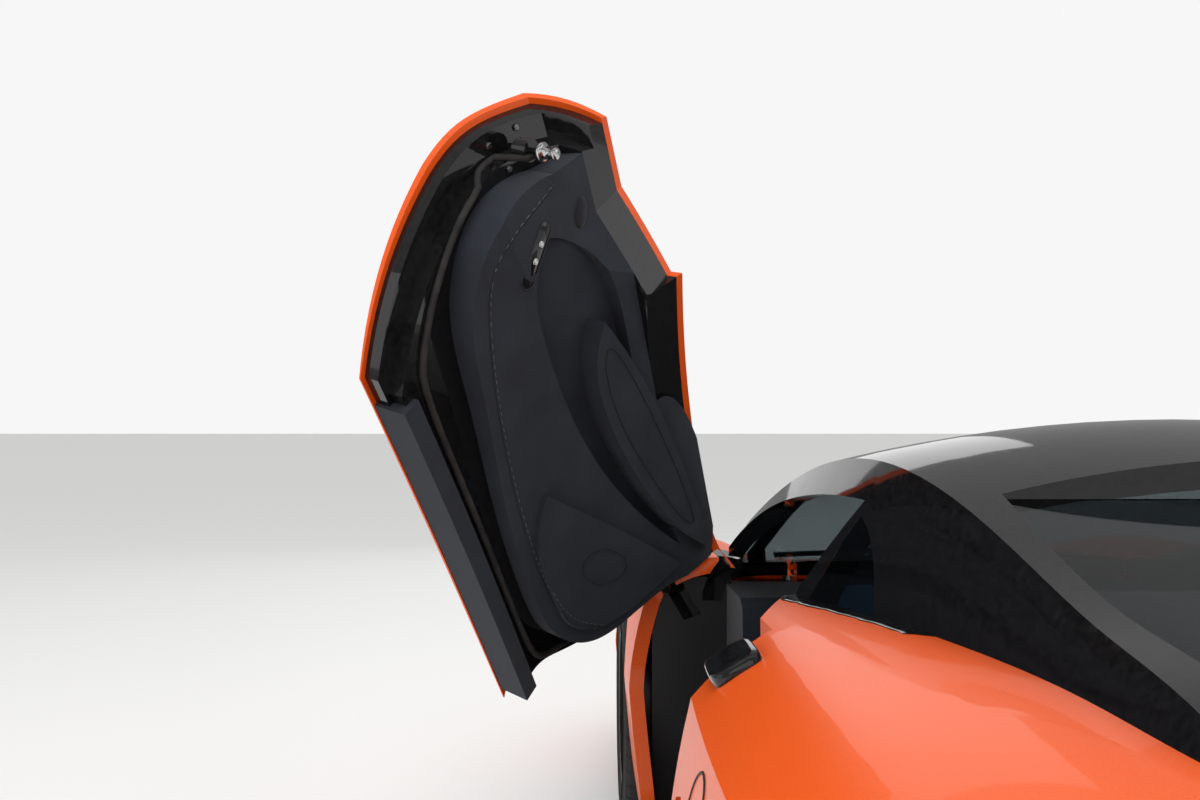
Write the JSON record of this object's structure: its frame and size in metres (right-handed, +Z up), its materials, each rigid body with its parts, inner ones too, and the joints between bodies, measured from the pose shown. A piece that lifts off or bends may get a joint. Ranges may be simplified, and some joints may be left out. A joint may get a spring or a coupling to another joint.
{
  "type": "mid-engined sports car",
  "caption": "low two-seat mid-engined coupe with swing-up doors, opening bonnet, steered front wheels and free-turning road wheels, left door raised",
  "frame": {"origin": "centre of the flat underfloor, midway between the four jacking holes", "axes": "+Y to the tail, -Y to the nose, +X to the car's left, +Z up; the ground lies 0.115 m below the origin"},
  "size_m": [2.4876, 4.532, 1.8274],
  "materials": {
    "orange_paint": "bright gloss orange",
    "gloss_black": "piano black",
    "dark_glass": "tinted",
    "trim_cloth": "matte dark blue-grey",
    "carbon_tub": "matte carbon fibre",
    "clear_lamp": "clear",
    "red_lamp": "red lens",
    "steel": "satin",
    "engine_metal": "cast",
    "rim_paint": "satin dark grey",
    "tyre_rubber": "matte",
    "disc_iron": "ground"
  },
  "bodies": {
    "chassis": {"tub": "carbon_tub", "roof_shell": "gloss_black", "windows": "dark_glass", "cowl": "gloss_black", "fenders": "orange_paint", "haunches": "orange_paint", "nose": "orange_paint", "splitter": "gloss_black", "tail": "orange_paint", "diffuser": "gloss_black", "engine_deck": "gloss_black", "headlamps": "clear_lamp", "taillamps": "red_lamp", "side_skirts": "gloss_black", "arch_liners": "carbon_tub", "exhaust": "steel", "engine": "engine_metal", "dashboard": "trim_cloth", "seats": "trim_cloth", "suspension": "steel"},
    "door_left": {"door_left_shell": "orange_paint", "door_left_inner": "gloss_black", "door_left_card": "trim_cloth", "door_left_mirror": "gloss_black"},
    "door_right": {"door_right_shell": "orange_paint", "door_right_inner": "gloss_black", "door_right_card": "trim_cloth", "door_right_glass": "dark_glass", "door_right_mirror": "gloss_black"},
    "bonnet": {"bonnet": "orange_paint"},
    "knuckle_left": {"knuckle_left": "steel"},
    "knuckle_right": {"knuckle_right": "steel"},
    "steering_wheel": {"steering_wheel": "trim_cloth"},
    "wheel_front_left": {"rim_front_left": "rim_paint", "tyre_front_left": "tyre_rubber", "disc_front_left": "disc_iron"},
    "wheel_front_right": {"rim_front_right": "rim_paint", "tyre_front_right": "tyre_rubber", "disc_front_right": "disc_iron"},
    "wheel_rear_left": {"rim_rear_left": "rim_paint", "tyre_rear_left": "tyre_rubber", "disc_rear_left": "disc_iron"},
    "wheel_rear_right": {"rim_rear_right": "rim_paint", "tyre_rear_right": "tyre_rubber", "disc_rear_right": "disc_iron"}
  },
  "joints": [
    {"name": "door_left_open", "type": "hinge", "parent": "chassis", "child": "door_left", "pos_m": [0.8, -0.88, 0.65], "axis": [0.761, -0.4666, -0.4506], "range_deg": [-56.5, 0]},
    {"name": "door_right_open", "type": "hinge", "parent": "chassis", "child": "door_right", "pos_m": [-0.8, -0.88, 0.65], "axis": [0.761, 0.4666, 0.4506], "range_deg": [0, 56.5]},
    {"name": "bonnet_open", "type": "hinge", "parent": "chassis", "child": "bonnet", "pos_m": [0, -0.985, 0.632], "axis": [-1, 0, 0], "range_deg": [0, 45]},
    {"name": "steer_left", "type": "hinge", "parent": "chassis", "child": "knuckle_left", "pos_m": [0.75, -1.32, 0.2085], "axis": [0, 0, 1], "range_deg": [-28, 28]},
    {"name": "steer_right", "type": "hinge", "parent": "chassis", "child": "knuckle_right", "pos_m": [-0.75, -1.32, 0.2085], "axis": [0, 0, 1], "range_deg": [-28, 28]},
    {"name": "steering_wheel_turn", "type": "hinge", "parent": "chassis", "child": "steering_wheel", "pos_m": [0.35, -0.43, 0.59], "axis": [0, 0.922, 0.3872], "range_deg": [-336, 336]},
    {"name": "spin_front_left", "type": "hinge", "parent": "knuckle_left", "child": "wheel_front_left", "pos_m": [0.825, -1.32, 0.2085], "axis": [1, 0, 0], "continuous": true},
    {"name": "spin_front_right", "type": "hinge", "parent": "knuckle_right", "child": "wheel_front_right", "pos_m": [-0.825, -1.32, 0.2085], "axis": [1, 0, 0], "continuous": true},
    {"name": "spin_rear_left", "type": "hinge", "parent": "chassis", "child": "wheel_rear_left", "pos_m": [0.8065, 1.32, 0.242], "axis": [1, 0, 0], "continuous": true},
    {"name": "spin_rear_right", "type": "hinge", "parent": "chassis", "child": "wheel_rear_right", "pos_m": [-0.8065, 1.32, 0.242], "axis": [1, 0, 0], "continuous": true}
  ],
  "couplings": [
    {"joint": "steer_right", "follows": "steer_left", "ratio": 1},
    {"joint": "steering_wheel_turn", "follows": "steer_left", "ratio": 12}
  ]
}
